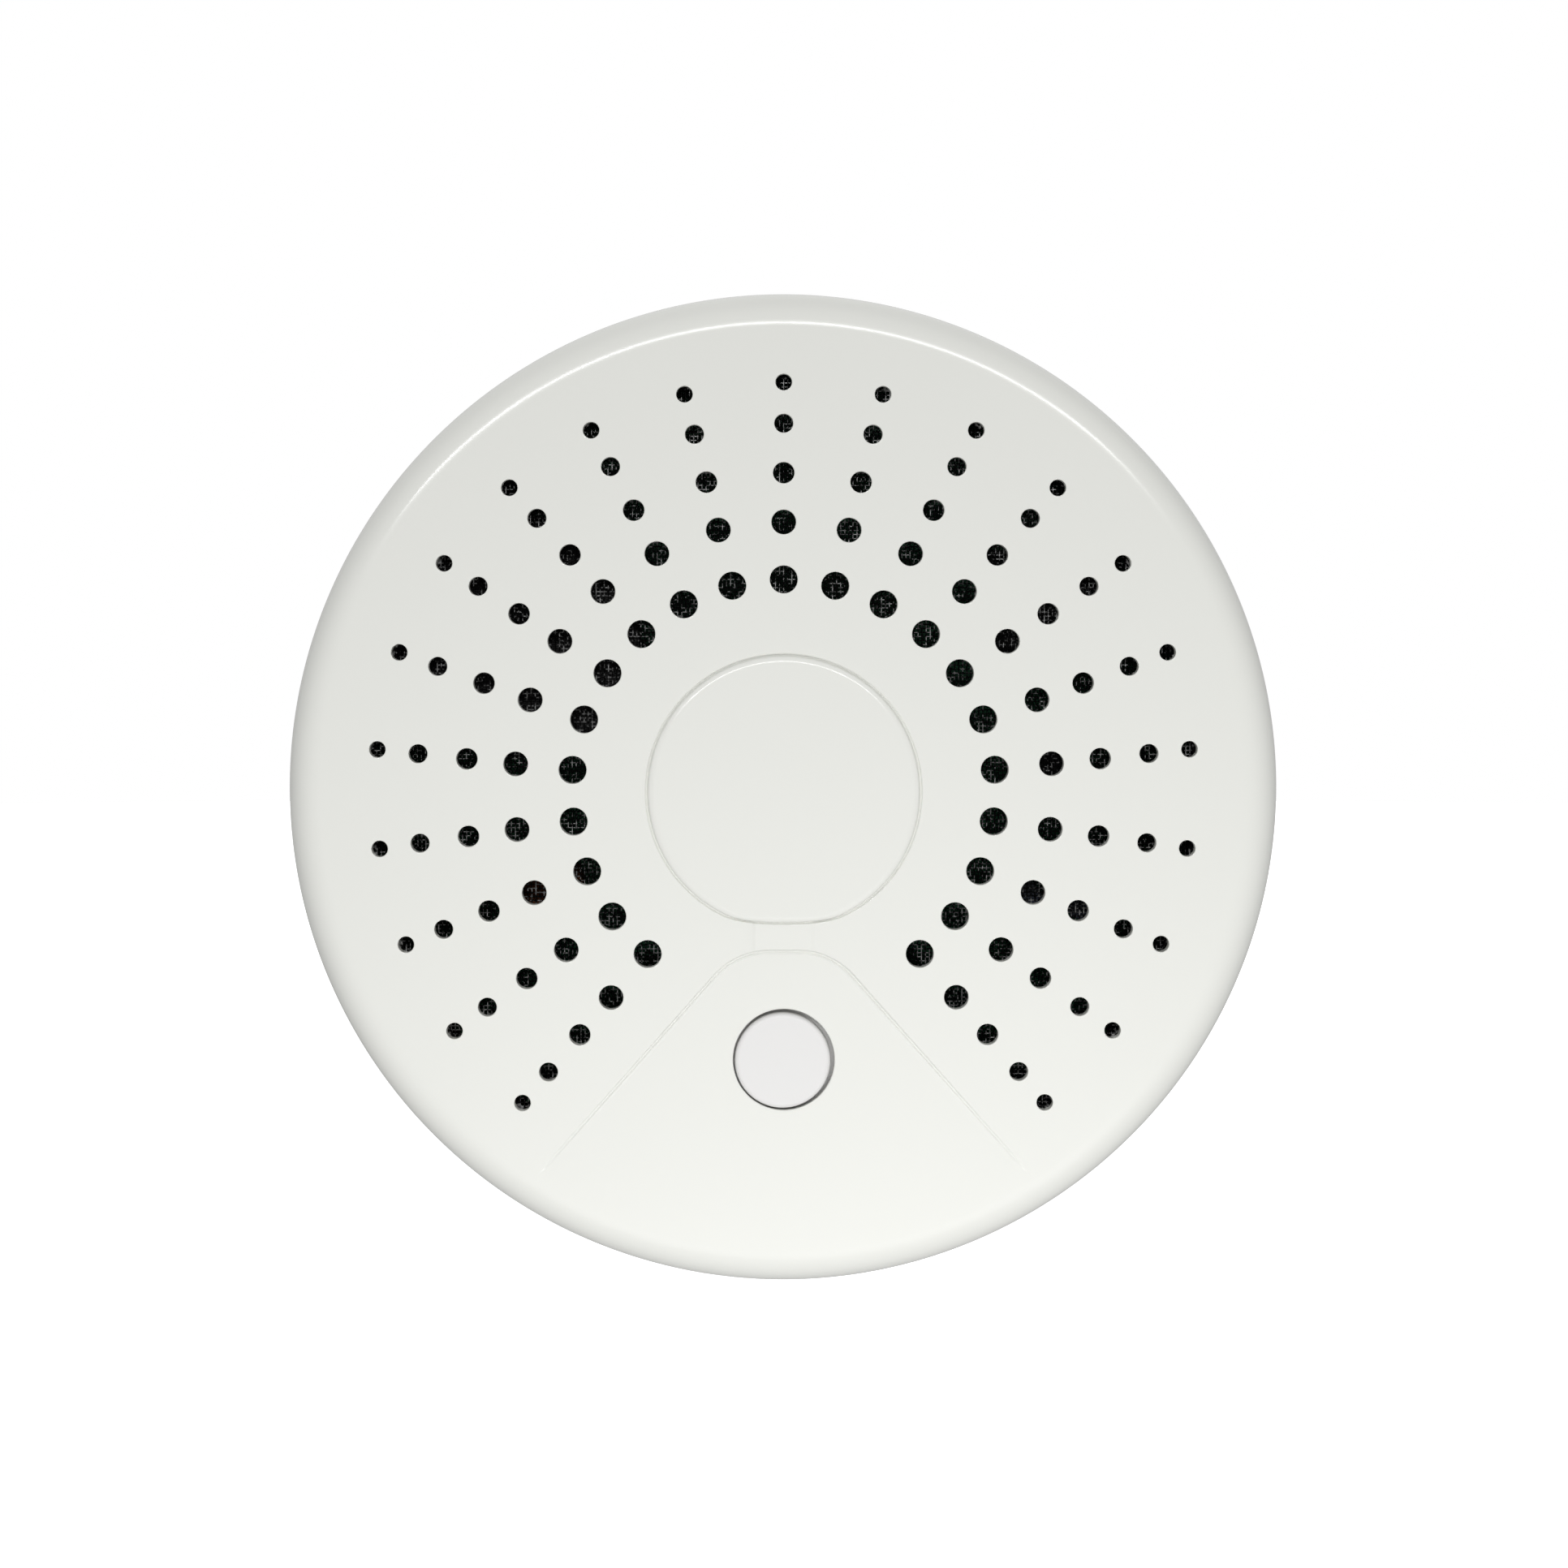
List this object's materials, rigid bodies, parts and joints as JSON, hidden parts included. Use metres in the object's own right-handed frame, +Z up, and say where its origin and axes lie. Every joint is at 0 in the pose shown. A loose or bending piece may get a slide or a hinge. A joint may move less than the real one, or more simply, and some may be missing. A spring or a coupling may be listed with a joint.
{
  "type": "smoke detector",
  "caption": "Round wall-mounted smoke detector: white cover with a fan of vent holes and a test button, on a twist-off bracket with a battery door behind.",
  "frame": {"origin": "centre of the mounting plane, where the bracket meets the wall", "axes": "+Y into the wall, so the face looks along -Y; +Z up; +X to the right of the face"},
  "size_m": [0.123, 0.0364, 0.123],
  "materials": {
    "white_plastic": "fine satin gloss",
    "button_plastic": "satin, faintly translucent",
    "back_plastic": "fine texture",
    "bracket_plastic": "fine texture",
    "mesh_metal": "black woven wire",
    "black_plastic": "light-absorbing matt",
    "screen_metal": "black fine screen",
    "board": "solder-mask lacquer",
    "chip": "moulded epoxy",
    "can_metal": "tin plated",
    "capacitor_sleeve": "drawn can",
    "copper_coil": "enamelled wire",
    "lamp_clear": "clear epoxy",
    "lamp_dark": "infrared filter epoxy",
    "brass": "rolled",
    "ceramic": "silvered ceramic",
    "sounder_plastic": "moulded",
    "spring_steel": "plated wire",
    "screw_steel": "zinc plated",
    "cell_sleeve": "plain lacquered sleeve",
    "cell_metal": "nickel plated",
    "contact_metal": "nickel plated",
    "foam": "closed-cell foam",
    "switch_plastic": "moulded",
    "plunger_plastic": "moulded"
  },
  "bodies": {
    "bracket": {"mounting_bracket": "bracket_plastic"},
    "detector_head": {"rear_housing": "back_plastic", "front_cover": "white_plastic", "insect_mesh": "mesh_metal", "button_spring": "spring_steel", "switch_body": "switch_plastic", "battery_cells": "cell_sleeve", "battery_terminals": "cell_metal", "battery_springs": "spring_steel", "battery_contacts": "contact_metal", "circuit_board": "board", "radio_module": "can_metal", "microcontroller": "chip", "capacitors": "capacitor_sleeve", "siren_coil": "copper_coil", "status_led": "lamp_clear", "chamber_base": "black_plastic", "chamber_screen": "screen_metal", "chamber_cover": "black_plastic", "infrared_emitter": "lamp_clear", "photodiode": "lamp_dark", "receiver_shield": "can_metal", "siren_housing": "sounder_plastic", "piezo_disc": "brass", "piezo_ceramic": "ceramic", "siren_cap": "sounder_plastic", "cover_screws": "screw_steel", "board_screws": "screw_steel"},
    "test_button": {"test_button": "button_plastic"},
    "switch_plunger": {"switch_plunger": "plunger_plastic"},
    "battery_door": {"battery_door": "back_plastic", "door_pad": "foam"}
  },
  "joints": [
    {"name": "head_twist", "type": "hinge", "parent": "bracket", "child": "detector_head", "pos_m": [0, 0, 0], "axis": [0, -1, 0], "range_deg": [0, 18]},
    {"name": "button_press", "type": "slide", "parent": "detector_head", "child": "test_button", "axis": [0, 1, 0], "range_m": [0, 0.001], "stiffness_N_per_m": 800, "springref_m": -0.0005, "deforming": ["button_spring"]},
    {"name": "plunger_press", "type": "slide", "parent": "detector_head", "child": "switch_plunger", "axis": [0, 1, 0], "range_m": [0, 0.001]},
    {"name": "battery_door_hinge", "type": "hinge", "parent": "detector_head", "child": "battery_door", "pos_m": [0, -0.0074, 0.014], "axis": [1, 0, 0], "range_deg": [0, 90]}
  ],
  "couplings": [
    {"joint": "plunger_press", "follows": "button_press", "ratio": 1}
  ]
}
